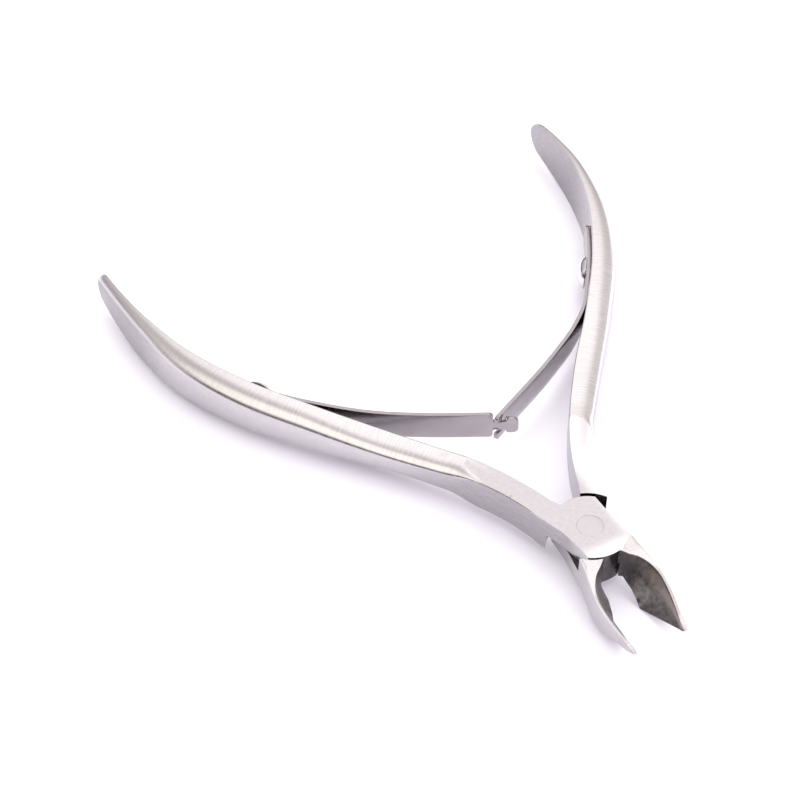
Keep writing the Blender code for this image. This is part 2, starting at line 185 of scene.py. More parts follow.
# Spring rivets: the head's rim as (distance in from its side, height), its dome in degrees
SPRING_RIVET_Y = 44.8
SPRING_RIVET_SHANK = 1.0
SPRING_RIVET_HEAD = 2.6
SPRING_RIVET_HEIGHT = 1.4
SPRING_RIVET_DEPTH = 2.2
SPRING_RIVET_FIT = 0.1
SPRING_RIVET_SEAT = 0.15
SPRING_RIVET_RIM = ((0.12, 0.0), (0.03, 0.06), (0.0, 0.2))
SPRING_RIVET_DOME = (14, 86, 16)

# Camera: bearing and height in degrees, then its roll, aim in mm, distance in mm and lens
CAMERA_AZIMUTH = -27.6986
CAMERA_ELEVATION = 46.7961
CAMERA_ROLL = -0.5822
CAMERA_AIM = (-9.1366, 37.2495, 0.0)
CAMERA_DISTANCE = 256.019
CAMERA_LENS = 77.72
CAMERA_SENSOR = 36.0
CAMERA_CLIP = 0.01

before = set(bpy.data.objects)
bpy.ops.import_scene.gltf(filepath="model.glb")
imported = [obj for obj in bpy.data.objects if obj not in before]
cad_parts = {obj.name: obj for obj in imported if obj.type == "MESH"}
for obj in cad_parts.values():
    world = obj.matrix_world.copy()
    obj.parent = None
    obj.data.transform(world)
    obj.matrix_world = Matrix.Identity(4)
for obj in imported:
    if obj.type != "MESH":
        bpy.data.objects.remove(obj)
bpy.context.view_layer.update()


# ---------------------------------------------------------------- curves

def tangent(table, index, column):
    """Slope of one column at a row of a table, from the rows on either side."""
    low = max(index - 1, 0)
    high = min(index + 1, len(table) - 1)
    return (table[high][column] - table[low][column]) / (table[high][0] - table[low][0])


def hermite(table, column, at):
    """Smooth value of a column at a place along a table sorted by its first column."""
    index = 0
    while index < len(table) - 2 and at > table[index + 1][0]:
        index += 1
    start, end = table[index], table[index + 1]
    span = end[0] - start[0]
    t = (at - start[0]) / span
    slope_0 = tangent(table, index, column) * span
    slope_1 = tangent(table, index + 1, column) * span
    return (
        (2 * t**3 - 3 * t**2 + 1) * start[column]
        + (t**3 - 2 * t**2 + t) * slope_0
        + (3 * t**2 - 2 * t**3) * end[column]
        + (t**3 - t**2) * slope_1
    )


def inner_face(y):
    """Point and outward normal of the left handle's inner face."""
    low, high = HANDLE_TABLE[0][0], HANDLE_TABLE[-1][0]
    before, after = max(y - SLOPE_STEP, low), min(y + SLOPE_STEP, high)
    rise = hermite(HANDLE_TABLE, 1, after) - hermite(HANDLE_TABLE, 1, before)
    slope = rise / (after - before)
    point = Vector((-hermite(HANDLE_TABLE, 1, y), y))
    normal = Vector((-1.0, -slope)).normalized()
    return point, normal


def polar(radius, degrees):
    """Plan point on a circle round the pivot."""
    angle = math.radians(degrees)
    return radius * math.cos(angle), radius * math.sin(angle)


def spread(first, last, count):
    """Evenly spaced values from the first to the last."""
    return [first + (last - first) * index / (count - 1) for index in range(count)]


# ---------------------------------------------------------------- sections with rounded corners

def lengths_of(points):
    """Distance along a line of points, at each of them."""
    total = [0.0]
    for before, after in zip(points, points[1:]):
        total.append(total[-1] + (after - before).length)
    return total


def at_length(points, lengths, place):
    """Point at a distance along a line of points."""
    index = 0
    while index < len(points) - 2 and place > lengths[index + 1]:
        index += 1
    span = lengths[index + 1] - lengths[index]
    t = (place - lengths[index]) / span if span > 0 else 0.0
    return points[index].lerp(points[index + 1], t)


def rounded_ring(sides, corners):
    """Closed section from four lines of points, with a curve across each corner."""
    trimmed = []
    for index, side in enumerate(sides):
        lengths = lengths_of(side)
        limit = lengths[-1] * LARGEST_CORNER
        start = min(corners[index], limit)
        end = lengths[-1] - min(corners[(index + 1) % 4], limit)
        places = spread(start, end, SIDE_POINTS[index])
        trimmed.append([at_length(side, lengths, place) for place in places])
    ring = []
    for index, side in enumerate(sides):
        ring.extend(trimmed[index])
        start, corner, end = trimmed[index][-1], side[-1], trimmed[(index + 1) % 4][0]
        for step in range(1, CORNER_POINTS + 1):
            t = step / (CORNER_POINTS + 1)
            ring.append(start.lerp(corner, t).lerp(corner.lerp(end, t), t))
    return ring


def handle_ring(y, share=1.0):
    """D-shaped section at a place along the handle, drawn in towards the middle at its tip."""
    point, normal = inner_face(y)
    depth, width, square = (hermite(HANDLE_TABLE, column, y) for column in (2, 3, 4))
    shrink = math.sqrt(1 - (1 - share) ** 2)
    out_shrink = shrink**TIP_FLATTENING

    def at(degrees):
        angle = math.radians(degrees)
        out = max(math.cos(angle) - TINY, 0.0) ** (2 / square)
        up = math.copysign(abs(math.sin(angle)) ** (2 / square), angle)
        plan = point + normal * depth * out * out_shrink
        return Vector((plan.x, plan.y, MID_Z + width / 2 * up * shrink))

    wall = [at(degrees) for degrees in spread(-45, 45, WALL_POINTS)]
    top = [at(degrees) for degrees in spread(45, 90, TOP_POINTS)]
    bottom = [at(degrees) for degrees in spread(-90, -45, TOP_POINTS)]
    back = [top[-1], bottom[0]]
    return rounded_ring((wall, top, back, bottom), [c * shrink for c in HANDLE_CORNERS])


def four_sided_ring(points, corners, hollow=0.0):
    """Section with four corners, whose left side can be hollowed."""
    sides = []
    for index in range(4):
        start, end = Vector(points[index]), Vector(points[(index + 1) % 4])
        along = end - start
        inward = Vector((along.z, 0.0, -along.x)).normalized()
        bulge = hollow if index == 0 else 0.0
        line = []
        for t in spread(0, 1, FLAT_POINTS):
            line.append(start + along * t + inward * bulge * 4 * t * (1 - t))
        sides.append(line)
    return rounded_ring(sides, corners)


def plate_ring(left, right, right_top):
    """Section of the lap plate, a little proud of the ground faces that cut it."""
    low, high = -GROUND_SPARE, JOINT + GROUND_SPARE
    points = ((*left, low), (*left, high), (*right, right_top), (*right, low))
    return four_sided_ring(points, PLATE_CORNERS)


def lap_rings():
    """Sections that fan round the joint, from the neck to the throat of the jaws."""
    high = JOINT + GROUND_SPARE
    rings = []
    for index, angle in enumerate(spread(*LAP_BACK_ANGLES, LAP_FAN)):
        left = Vector(NECK_ROOT).lerp(Vector(NECK_FOOT), index / (LAP_FAN - 1))
        rings.append(plate_ring(tuple(left), polar(LAP_BACK_RADIUS, angle), high))
    for left, right in LAP_SIDE_PAIRS:
        rings.append(plate_ring(left, right, high))
    for index, angle in enumerate(spread(*LAP_FRONT_ANGLES, LAP_FAN)):
        t = index / (LAP_FAN - 1)
        right = Vector(SHOULDER_START).lerp(Vector(SHOULDER_END), t)
        dip = (SHOULDER_DIP + GROUND_SPARE) * t**2
        rings.append(plate_ring(polar(LAP_FRONT_RADIUS, angle), tuple(right), high - dip))
    return rings


def jaw_rings():
    """Sections of the right-hand jaw, with a straight cutting edge from heel to tip."""
    ordered = sorted(JAW_TABLE)
    rings = []
    for upper, lower in zip(JAW_TABLE, JAW_TABLE[1:]):
        for step in range(JAW_STEPS):
            y = upper[0] + (lower[0] - upper[0]) * step / JAW_STEPS
            row = [y] + [hermite(ordered, column, y) for column in range(1, len(upper))]
            row[2] = upper[2] + (lower[2] - upper[2]) * step / JAW_STEPS
            rings.append(jaw_ring(row))
    rings.append(jaw_ring(JAW_TABLE[-1]))
    return rings


def jaw_ring(row):
    """Section of the right-hand jaw: hollow, rim, outer side and underside."""
    y, edge_x, edge_z, rim_x, rim_z, outer_x, top_z, bottom_z, hollow = row
    points = (
        (edge_x, y, edge_z),
        (rim_x, y, rim_z),
        (outer_x, y, top_z),
        (outer_x, y, bottom_z),
    )
    return four_sided_ring(points, JAW_CORNERS, hollow)


# ---------------------------------------------------------------- mesh helpers

def new_object(name, bm):
    """Object from a bmesh in millimetres."""
    bmesh.ops.scale(bm, vec=(MM, MM, MM), verts=bm.verts)
    bmesh.ops.recalc_face_normals(bm, faces=bm.faces)
    mesh = bpy.data.meshes.new(name)
    bm.to_mesh(mesh)
    bm.free()
    obj = bpy.data.objects.new(name, mesh)
    bpy.context.scene.collection.objects.link(obj)
    return obj


def baked(obj):
    """Turn an object's modifiers into its own mesh."""
    bpy.context.view_layer.update()
    depsgraph = bpy.context.evaluated_depsgraph_get()
    mesh = bpy.data.meshes.new_from_object(obj.evaluated_get(depsgraph))
    obj.modifiers.clear()
    obj.data = mesh
    return obj


def cut(obj, cutters):
    """Take the cutters' shapes out of an object, and remove them."""
    for cutter in cutters:
        modifier = obj.modifiers.new(cutter.name, "BOOLEAN")
        modifier.operation = "DIFFERENCE"
        modifier.solver = "EXACT"
        modifier.object = cutter
    baked(obj)
    for cutter in cutters:
        bpy.data.objects.remove(cutter, do_unlink=True)


def bridge(bm, lower, upper):
    """Band of faces between two loops of points."""
    for index in range(len(lower)):
        after = (index + 1) % len(lower)
        bm.faces.new((lower[index], lower[after], upper[after], upper[index]))


def turned(profile, segments):
    """Solid of revolution about Z from (radius, z) points, first and last at radius zero."""
    bm = bmesh.new()
    rings = []
    for radius, z in profile[1:-1]:
        ring = []
        for index in range(segments):
            angle = math.tau * index / segments
            ring.append(bm.verts.new((radius * math.cos(angle), radius * math.sin(angle), z)))
        rings.append(ring)
    for lower, upper in zip(rings, rings[1:]):
        bridge(bm, lower, upper)
    for (_, z), ring in ((profile[0], rings[0]), (profile[-1], rings[-1])):
        middle = bm.verts.new((0.0, 0.0, z))
        for index in range(segments):
            bm.faces.new((ring[index], ring[(index + 1) % segments], middle))
    return bm


def cylinder(name, radius, low, high, segments):
    """Plain cylinder about Z between two heights."""
    profile = ((0.0, low), (radius, low), (radius, high), (0.0, high))
    return new_object(name, turned(profile, segments))


def block(low, high):
    """Box between two corners."""
    bm = bmesh.new()
    bmesh.ops.create_cube(bm, size=1.0)
    size = Vector(high) - Vector(low)
    bmesh.ops.scale(bm, vec=size, verts=bm.verts)
    bmesh.ops.translate(bm, vec=(Vector(high) + Vector(low)) / 2, verts=bm.verts)
    return bm


def smooth(obj, degrees):
    """Shade smooth, with creases where faces meet at more than an angle."""
    obj.data.shade_smooth()
    obj.data.set_sharp_from_angle(angle=math.radians(degrees))


def set_point_values(obj, name, kind, values):
    """Store a value for each point of the mesh, for the materials to read."""
    attribute = obj.data.attributes.new(name, kind, "POINT")
    field = "vector" if kind == "FLOAT_VECTOR" else "value"
    for item, value in zip(attribute.data, values):
        setattr(item, field, value)


def rivet_axis(side):
    """Matrix that puts a spring rivet, turned about Z, on its handle's inner face."""
    point, normal = inner_face(SPRING_RIVET_Y)
    inward = Vector((-normal.x * -side, -normal.y, 0.0))
    up = Vector((0.0, 0.0, 1.0))
    turn = Matrix((up.cross(inward), up, inward)).transposed().to_4x4()
    place = Vector((point.x * -side, point.y, MID_Z))
    return Matrix.Translation(place * MM) @ turn


# ---------------------------------------------------------------- levers

def lever_skin(name):
    """Left lever before its cuts.

    Its points store the distance along and round it with the share of the way over the section's
    first side (grain), and whether they lie in the jaw's hollow.
    """
    stations = [HANDLE_TABLE[-1][0] - TIP_ROUNDING * share for share in TIP_SHARES]
    rings = [handle_ring(y, share) for y, share in zip(stations, TIP_SHARES)]
    count = round((stations[-1] - HANDLE_LAST) / HANDLE_STEP)
    rings += [handle_ring(y) for y in spread(stations[-1], HANDLE_LAST, count + 1)[1:]]
    rings += lap_rings()
    first_jaw = len(rings)
    rings += jaw_rings()

    bm = bmesh.new()
    loops = [[bm.verts.new(point) for point in ring] for ring in rings]
    size = len(loops[0])
    for lower, upper in zip(loops, loops[1:]):
        bridge(bm, lower, upper)
    start = bm.verts.new(sum(rings[0], Vector()) / size)
    tip = bm.verts.new(JAW_TIP)
    for index in range(size):
        after = (index + 1) % size
        bm.faces.new((loops[0][after], loops[0][index], start))
        bm.faces.new((loops[-1][index], loops[-1][after], tip))

    middles = [sum(ring, Vector()) / size for ring in rings]
    along = lengths_of(middles)
    grain, hollow = [], []
    for number, ring in enumerate(rings):
        round_it = lengths_of(ring)
        for index in range(size):
            across = min(index / SIDE_POINTS[0], 1.0)
            grain.append(Vector((along[number], round_it[index], across)))
            inside = number >= first_jaw and index <= SIDE_POINTS[0]
            hollow.append(1.0 if inside else 0.0)
    grain += [Vector((along[0], 0.0, 0.0)), Vector((along[-1], 0.0, 0.0))]
    hollow += [0.0, 0.0]
    obj = new_object(name, bm)
    set_point_values(obj, "grain", "FLOAT_VECTOR", grain)
    set_point_values(obj, "hollow", "FLOAT", hollow)
    return obj


def mirror_x(obj):
    """Mirror a mesh in the centre plane, with its faces still pointing out."""
    bm = bmesh.new()
    bm.from_mesh(obj.data)
    bmesh.ops.scale(bm, vec=(-1.0, 1.0, 1.0), verts=bm.verts)
    bmesh.ops.reverse_faces(bm, faces=bm.faces)
    bm.to_mesh(obj.data)
    bm.free()


def bore_profile():
    """Hole for the pivot rivet, countersunk at both faces."""
    shank = RIVET_SHANK + RIVET_CLEARANCE
    head = RIVET_HEAD + RIVET_CLEARANCE
    return (
        (0.0, -BORE_SPARE),
        (head, -BORE_SPARE),
        (head, 0.0),
        (shank, RIVET_HEAD_DEPTH),
        (shank, JOINT - RIVET_HEAD_DEPTH),
        (head, JOINT),
        (head, JOINT + BORE_SPARE),
        (0.0, JOINT + BORE_SPARE),
    )


def shade_inner_faces(lever, side):
    """Mark the faces inside the lap joint and the jaws' throat, which the material paints dark as
    shade.
    """
    shade = lever.data.attributes.new("shade", "FLOAT", "FACE")
    for polygon, item in zip(lever.data.polygons, shade.data):
        centre, normal = polygon.center / MM, polygon.normal
        radius = math.hypot(centre.x, centre.y)
        halfway = abs(centre.z - MID_Z) < LAP_GAP
        level = abs(normal.z) > FLAT_SLOPE and halfway and radius < POCKET_RADIUS
        toward_pivot = normal.x * centre.x + normal.y * centre.y < TOWARD_PIVOT * radius
        wall = toward_pivot and abs(radius - POCKET_RADIUS) < WALL_NEAR
        inward = normal.y < TOWARD_JAWS or normal.x * side > TOWARD_CENTRE
        upright = abs(normal.z) < UPRIGHT_BELOW and inward
        throat = upright and centre.y < THROAT_Y and abs(centre.x) < THROAT_HALF_WIDTH
        item.value = 1.0 if level or wall or throat else 0.0


def make_lever(name, side):
    """One lever: side -1 has its handle at -X and the upper lap, side 1 the lower lap."""
    lever = lever_skin(name)
    if side > 0:
        mirror_x(lever)
        low, high = MID_Z - LAP_GAP / 2, JOINT + POCKET_SPARE
    else:
        low, high = -POCKET_SPARE, MID_Z + LAP_GAP / 2
    radius, depth = SPRING_RIVET_SHANK + SPRING_RIVET_FIT, SPRING_RIVET_DEPTH + HOLE_SPARE
    hole = cylinder("hole", radius, -depth, BORE_SPARE, HOLE_SEGMENTS)
    hole.matrix_world = rivet_axis(side)
    front, back = JAW_TABLE[0][0] + FRONT_SPARE, GROUND_END
    over = block((-CUTTER_SIDE, front, JOINT), (CUTTER_SIDE, back, JOINT + CUTTER_HEIGHT))
    under = block((-CUTTER_SIDE, front, -CUTTER_HEIGHT), (CUTTER_SIDE, back, 0.0))
    cutters = [
        new_object("top", over),
        new_object("under", under),
        cylinder("pocket", POCKET_RADIUS, low, high, POCKET_SEGMENTS),
        new_object("bore", turned(bore_profile(), BORE_SEGMENTS)),
        hole,
    ]
    cut(lever, cutters)
    shade_inner_faces(lever, side)
    smooth(lever, LEVER_CREASE)
    return lever


# ---------------------------------------------------------------- rivets

def make_pivot_rivet(name):
    """Flush rivet with slightly broken edges on its two countersunk heads."""
    edge, top = RIVET_EDGE, JOINT
    profile = [
        (0.0, 0.0),
        (RIVET_HEAD - 2.5 * edge, 0.0),
        (RIVET_HEAD - 0.7 * edge, 0.3 * edge),
        (RIVET_HEAD, edge),
        (RIVET_SHANK, RIVET_HEAD_DEPTH),
        (RIVET_SHANK, top - RIVET_HEAD_DEPTH),
        (RIVET_HEAD, top - edge),
        (RIVET_HEAD - 0.7 * edge, top - 0.3 * edge),
        (RIVET_HEAD - 2.5 * edge, top),
        (0.0, top),
    ]
    rivet = new_object(name, turned(profile, BORE_SEGMENTS))
    smooth(rivet, PIVOT_CREASE)
    return rivet


def make_spring_rivet(name, side):
    """Rivet with a domed head that has a rounded rim."""
    seat = LEAF_LIFT[side] + LEAF_THICKNESS + SPRING_RIVET_SEAT
    profile = [(0.0, -SPRING_RIVET_DEPTH), (SPRING_RIVET_SHANK, -SPRING_RIVET_DEPTH)]
    profile.append((SPRING_RIVET_SHANK, seat))
    profile += [(SPRING_RIVET_HEAD - inset, seat + rise) for inset, rise in SPRING_RIVET_RIM]
    for degrees in spread(*SPRING_RIVET_DOME):
        angle = math.radians(degrees)
        radius = SPRING_RIVET_HEAD * math.cos(angle)
        profile.append((radius, seat + SPRING_RIVET_HEIGHT * math.sin(angle)))
    profile.append((0.0, seat + SPRING_RIVET_HEIGHT))
    rivet = new_object(name, turned(profile, HEAD_SEGMENTS))
    rivet.data.transform(rivet_axis(side))
    smooth(rivet, HEAD_CREASE)
    return rivet


# ---------------------------------------------------------------- leaf springs

def leaf_path(side):
    """Centre line of a leaf, as for the left hand, as (distance past the middle, x, y)."""
    lift = LEAF_LIFT[side] + LEAF_THICKNESS / 2
    knots = []
    for y in LEAF_FOOT[side]:
        point, normal = inner_face(y)
        knots.append(point - normal * lift)
    knots.extend(Vector(point) for point in LEAF_FREE[side])
    last = (knots[-1] - knots[-2]).normalized()
    knots.append(knots[-1] + last * LEAF_RUN_OUT)
    lengths = lengths_of(knots)
    zero = lengths[-2]
    return [(length - zero, knot.x, knot.y) for length, knot in zip(lengths, knots)]


def arc(centre, radius, first, last, count):
    """Points on a circle between two angles in degrees."""
    points = []
    for degrees in spread(first, last, count):
        angle = math.radians(degrees)
        points.append((centre[0] + radius * math.cos(angle), centre[1] + radius * math.sin(angle)))
    return points


def arcs(table):
    """Points of several arcs, one after the other."""
    return [point for row in table for point in arc(*row)]


def leaf_outline(side, start):
    """Upper half of a leaf's flat outline: foot, then the tongue's head or a prong of the fork."""
    radius = LEAF_FOOT_RADIUS
    foot = arc((start + radius, LEAF_WIDTH / 2 - radius), radius, 180, 90, LEAF_FOOT_POINTS)
    if side < 0:
        return foot + arcs(TONGUE_SHOULDER) + [TONGUE_NECK_END] + arcs(TONGUE_HEAD)
    return foot + arcs(FORK_PRONG)


def flat_leaf(name, side, start):
    """Leaf as a flat strip: X along it, Y across it and Z through it, in millimetres."""
    upper = leaf_outline(side, start)
    outline = upper + [(x, -y) for x, y in reversed(upper)]
    bm = bmesh.new()
    face = bm.faces.new([bm.verts.new((x, y, 0.0)) for x, y in outline])
    bmesh.ops.triangulate(bm, faces=[face])
    place = start + LEAF_CUT_STEP
    while place < max(x for x, _ in outline) - LEAF_LAST_CUT:
        geometry = bm.verts[:] + bm.edges[:] + bm.faces[:]
        bmesh.ops.bisect_plane(bm, geom=geometry, plane_co=(place, 0, 0), plane_no=(1, 0, 0))
        place += LEAF_CUT_STEP
    lower = bm.faces[:]
    made = bmesh.ops.extrude_face_region(bm, geom=lower, use_keep_orig=True)
    raised = [item for item in made["geom"] if isinstance(item, bmesh.types.BMVert)]
    bmesh.ops.translate(bm, vec=(0, 0, LEAF_THICKNESS), verts=raised)
    bmesh.ops.translate(bm, vec=(0, 0, -LEAF_THICKNESS / 2), verts=bm.verts)
    return new_object(name, bm)


def make_leaf(name, side):
    """Leaf spring: side -1 ends in a tongue with a head, side 1 in a fork round that tongue."""
    path = leaf_path(side)
    leaf = flat_leaf(name, side, path[0][0])
    foot, _ = inner_face(SPRING_RIVET_Y)
    places = spread(path[0][0], 0, LEAF_SEARCH)
    nearest = min(places, key=lambda place: abs(hermite(path, 2, place) - foot.y))
    radius = SPRING_RIVET_SHANK + SPRING_RIVET_FIT
    hole = cylinder("hole", radius, -POCKET_SPARE, POCKET_SPARE, HOLE_SEGMENTS)
    hole.location.x = nearest * MM
    cut(leaf, [hole])
    edges = leaf.modifiers.new("edges", "BEVEL")
    edges.width = LEAF_BEVEL * MM
    edges.segments = 2
    edges.limit_method = "ANGLE"
    edges.angle_limit = math.radians(LEAF_BEVEL_ANGLE)
    baked(leaf)
    grain = []
    for vertex in leaf.data.vertices:
        along, across, through = vertex.co / MM
        grain.append(Vector((along, across, through)))
        here = Vector((hermite(path, 1, along), hermite(path, 2, along)))
        ahead = Vector([hermite(path, column, along + LEAF_AHEAD) for column in (1, 2)])
        forward = (ahead - here).normalized()
        place = here + Vector((-forward.y, forward.x)) * through
        vertex.co = Vector((place.x * -side, place.y, MID_Z + across)) * MM
    set_point_values(leaf, "grain", "FLOAT_VECTOR", grain)
    turn_out(leaf)
    smooth(leaf, LEAF_CREASE)
    return leaf


def turn_out(obj):
    """Make every face point outwards."""
    bm = bmesh.new()
    bm.from_mesh(obj.data)
    bmesh.ops.recalc_face_normals(bm, faces=bm.faces)
    bm.to_mesh(obj.data)
    bm.free()


# ---------------------------------------------------------------- materials

# Noise of the finishes: stretch per millimetre, detail and roughness
BRUSHED = ((3.6, 0.4, 0.0), 3.0, 0.75)
WAVES = ((0.12, 0.3, 0.0), 2.0, 0.5)
RINGS = ((4.0, 0.06, 0.0), 3.0, 0.7)
GRIND = ((1.3, 5.2, 0.2), 3.0, 0.75)
STREAKS = ((0.5, 5.0, 0.0), 4.0, 0.7)
SCRATCHES = ((5.0, 0.8, 0.0), 4.0, 0.6)
MOTTLE = ((1.5, 1.5, 1.5), 6.0, 0.6)
CLOUD = ((0.42, 0.42, 0.42), 3.0, 0.5)
PITS = ((1.7, 1.7, 1.7), 1.0, 0.5)
ROLLED = ((0.35, 6.0, 6.0), 3.0, 0.6)
RIVET_LINES = ((1.5, 4.2, 0.2), 3.0, 0.7)
RIVET_CLOUD = ((0.6, 0.6, 0.6), 3.0, 0.5)
MARKS = ((2.6, 2.6, 0.9), 4.0, 0.6)
PAPER = ((0.04, 0.04, 0.04), 2.0, 0.5)

# Where a finish fades in, as (none, full): along X and Y in millimetres, or by the slope of a face
GROUND_SLOPE = (0.996, 0.9995)
GROUND_BEFORE = (22.0, 19.0)
UPRIGHT_SLOPE = (0.5, 0.3)
RINGS_WITHIN = (8.0, 4.5)
MIDDLE_OF_HANDLE = (60.0, 34.0)
TIP_FROM = (52.0, 68.0)
NECK_BEFORE = (30.0, 12.0)
NECK_AFTER = (-4.0, 1.0)
# Painted highlight on the ground flats, right of this X or in front of this Y
HIGHLIGHT_RIGHT_OF = (2.5, 4.5)
HIGHLIGHT_BEFORE = (-2.5, -4.5)
PITS_AFTER = (0.0, 6.0)
# Painted shade in the hollow grows towards the throat
THROAT_SHADE_AFTER = (-9.5, -6.0)
# Painted sheen band in the hollow fades in away from the throat
SHEEN_BEFORE = (-6.5, -9.5)

# Share of the way from the cutting edge to the jaw's rim, as (none, full)
# Painted sheen band across the hollow, as a share of the way to the rim
SHEEN_FROM = (0.45, 0.68)
SHEEN_UNTIL = (0.92, 0.76)
BROWN_FROM = (0.84, 0.97)

# Height of the relief, in metres at full contrast, and the relief's parts against the lines
LEVER_RELIEF = 8.5e-6
RIVET_RELIEF = 5.0e-6
SMOOTH_RELIEF = 1.5e-6
WAVE_RELIEF = 2.5
PIT_RELIEF = 1.5

# Contrast of the noises, as (none, full) and the share that these stand for
SOFTENED = (0.0, 1.0, 0.25, 0.75)
WORN = (0.0, 1.0, 0.35, 0.65)
# Painted shade on the upright sides near the joint and the tip
SIDE_SHADE_AT = (0.0, 1.0, 0.6, 1.0)
LINES_AT = (0.65, 0.3, 0.0, 0.24)
TONES_AT = (0.35, 0.65)
PITS_AT = (0.82, 0.85)
MOTTLE_AT = (0.3, 0.7)
SCRATCHES_AT = (0.5, 0.75, 0.0, 0.5)
CLOUD_AT = (0.35, 0.6, 0.25, 0.8)
THROAT_SHADE_SHARE = 0.8
BROWN_SHARE = 0.7

# Roughness, from the noise's (low, high) to the finish's (low, high)
SATIN_ROUGH = (0.2, 0.8, 0.19, 0.28)
GROUND_ROUGH = 0.3
TIP_ROUGHER = 0.16
FORGED_ROUGH = (0.3, 0.7, 0.34, 0.5)
SPRING_ROUGH = (0.25, 0.75, 0.13, 0.22)
RIVET_ROUGH = (0.25, 0.75, 0.26, 0.36)
HEAD_ROUGH = (0.3, 0.7, 0.1, 0.18)
PAPER_ROUGH = 0.9
PAPER_SPECULAR = 0.1

# Satin is painted darker towards the handle's tip than nearer the joint, as painted shade
SATIN_END = (0.67, 0.65, 0.645, 1.0)
SATIN_MIDDLE = (0.8, 0.78, 0.78, 1.0)
SATIN_LINES = (0.4, 0.385, 0.385, 1.0)
# Painted shade on the handles' upright sides towards the joint and the tip, with streaky tones
SIDE_SHADE_TONES = ((0.33, 0.315, 0.325, 1.0), (0.41, 0.395, 0.41, 1.0))
GROUND = ((0.58, 0.56, 0.57, 1.0), (0.66, 0.64, 0.65, 1.0))
# Painted highlight: lighter ground flats at the front and on the right-hand lever
GROUND_HIGHLIGHT = (0.86, 0.85, 0.85, 1.0)
FORGED = ((0.17, 0.16, 0.155, 1.0), (0.33, 0.315, 0.305, 1.0))
FORGED_SCRATCHES = (0.42, 0.4, 0.385, 1.0)
# Painted warm sheen band across the hollow
PAINTED_SHEEN = (0.5, 0.42, 0.365, 1.0)
# Painted shade in the hollow by the throat
PAINTED_THROAT_SHADE = (0.06, 0.053, 0.053, 1.0)
FORGED_BROWN = (0.16, 0.12, 0.105, 1.0)
PIT_COLOUR = (0.12, 0.1, 0.1, 1.0)
# Painted shade on the faces inside the lap joint and in the jaws' throat
SHADE = ((0.04, 0.036, 0.036, 1.0), (0.16, 0.15, 0.15, 1.0))
SPRING = ((0.35, 0.325, 0.335, 1.0), (0.44, 0.415, 0.425, 1.0))
RIVET = ((0.58, 0.56, 0.57, 1.0), (0.65, 0.63, 0.64, 1.0))
HEAD = ((0.6, 0.58, 0.59, 1.0), (0.74, 0.72, 0.725, 1.0))
PAPER_TONES = ((0.83, 0.82, 0.9, 1.0), (0.85, 0.84, 0.92, 1.0))


class Nodes:
    """Short calls for building one node tree, with places in millimetres."""

    def __init__(self, owner):
        owner.use_nodes = True
        self.owner = owner
        self.tree = owner.node_tree

    def add(self, kind, **settings):
        node = self.tree.nodes.new(kind)
        for key, value in settings.items():
            setattr(node, key, value)
        return node

    def feed(self, socket, value):
        if isinstance(value, bpy.types.NodeSocket):
            self.tree.links.new(value, socket)
        else:
            socket.default_value = value

    def math(self, operation, first, second=0.0):
        node = self.add("ShaderNodeMath", operation=operation)
        self.feed(node.inputs[0], first)
        self.feed(node.inputs[1], second)
        return node.outputs[0]

    def product(self, first, *others):
        for other in others:
            first = self.math("MULTIPLY", first, other)
        return first

    def vector_math(self, operation, first, second=(0.0, 0.0, 0.0)):
        node = self.add("ShaderNodeVectorMath", operation=operation)
        self.feed(node.inputs[0], first)
        self.feed(node.inputs[1], second)
        return node

    def stretch(self, vector, scale):
        return self.vector_math("MULTIPLY", vector, scale).outputs["Vector"]

    def split(self, vector):
        node = self.add("ShaderNodeSeparateXYZ")
        self.feed(node.inputs[0], vector)
        return node.outputs

    def coordinates(self, kind):
        return self.add("ShaderNodeTexCoord").outputs[kind]

    def place(self):
        return self.stretch(self.coordinates("Object"), (1 / MM, 1 / MM, 1 / MM))

    def attribute(self, name, output):
        return self.add("ShaderNodeAttribute", attribute_name=name).outputs[output]

    def noise(self, vector, scale, detail, roughness):
        node = self.add("ShaderNodeTexNoise")
        self.feed(node.inputs["Vector"], self.stretch(vector, scale))
        self.feed(node.inputs["Scale"], 1.0)
        self.feed(node.inputs["Detail"], detail)
        self.feed(node.inputs["Roughness"], roughness)
        return node.outputs["Fac"]

    def fit(self, value, low, high, to_low=0.0, to_high=1.0):
        node = self.add("ShaderNodeMapRange", interpolation_type="SMOOTHSTEP")
        self.feed(node.inputs["Value"], value)
        self.feed(node.inputs["From Min"], low)
        self.feed(node.inputs["From Max"], high)
        self.feed(node.inputs["To Min"], to_low)
        self.feed(node.inputs["To Max"], to_high)
        return node.outputs["Result"]

    def mix(self, factor, first, second, kind="RGBA"):
        node = self.add("ShaderNodeMix", data_type=kind)
        self.feed(node.inputs["Factor"], factor)
        self.feed(node.inputs["A"], first)
        self.feed(node.inputs["B"], second)
        return node.outputs["Result"]

    def blend(self, factor, first, second):
        return self.mix(factor, first, second, "FLOAT")

    def surface(self, colour, roughness, metallic=1.0):
        shader = self.tree.nodes["Principled BSDF"]
        self.feed(shader.inputs["Base Color"], colour)
        self.feed(shader.inputs["Roughness"], roughness)
        self.feed(shader.inputs["Metallic"], metallic)
        return shader

    def bump(self, height, distance):
        node = self.add("ShaderNodeBump")
        self.feed(node.inputs["Distance"], distance)
        self.feed(node.inputs["Strength"], 1.0)
        self.feed(node.inputs["Height"], height)
        self.feed(self.tree.nodes["Principled BSDF"].inputs["Normal"], node.outputs["Normal"])


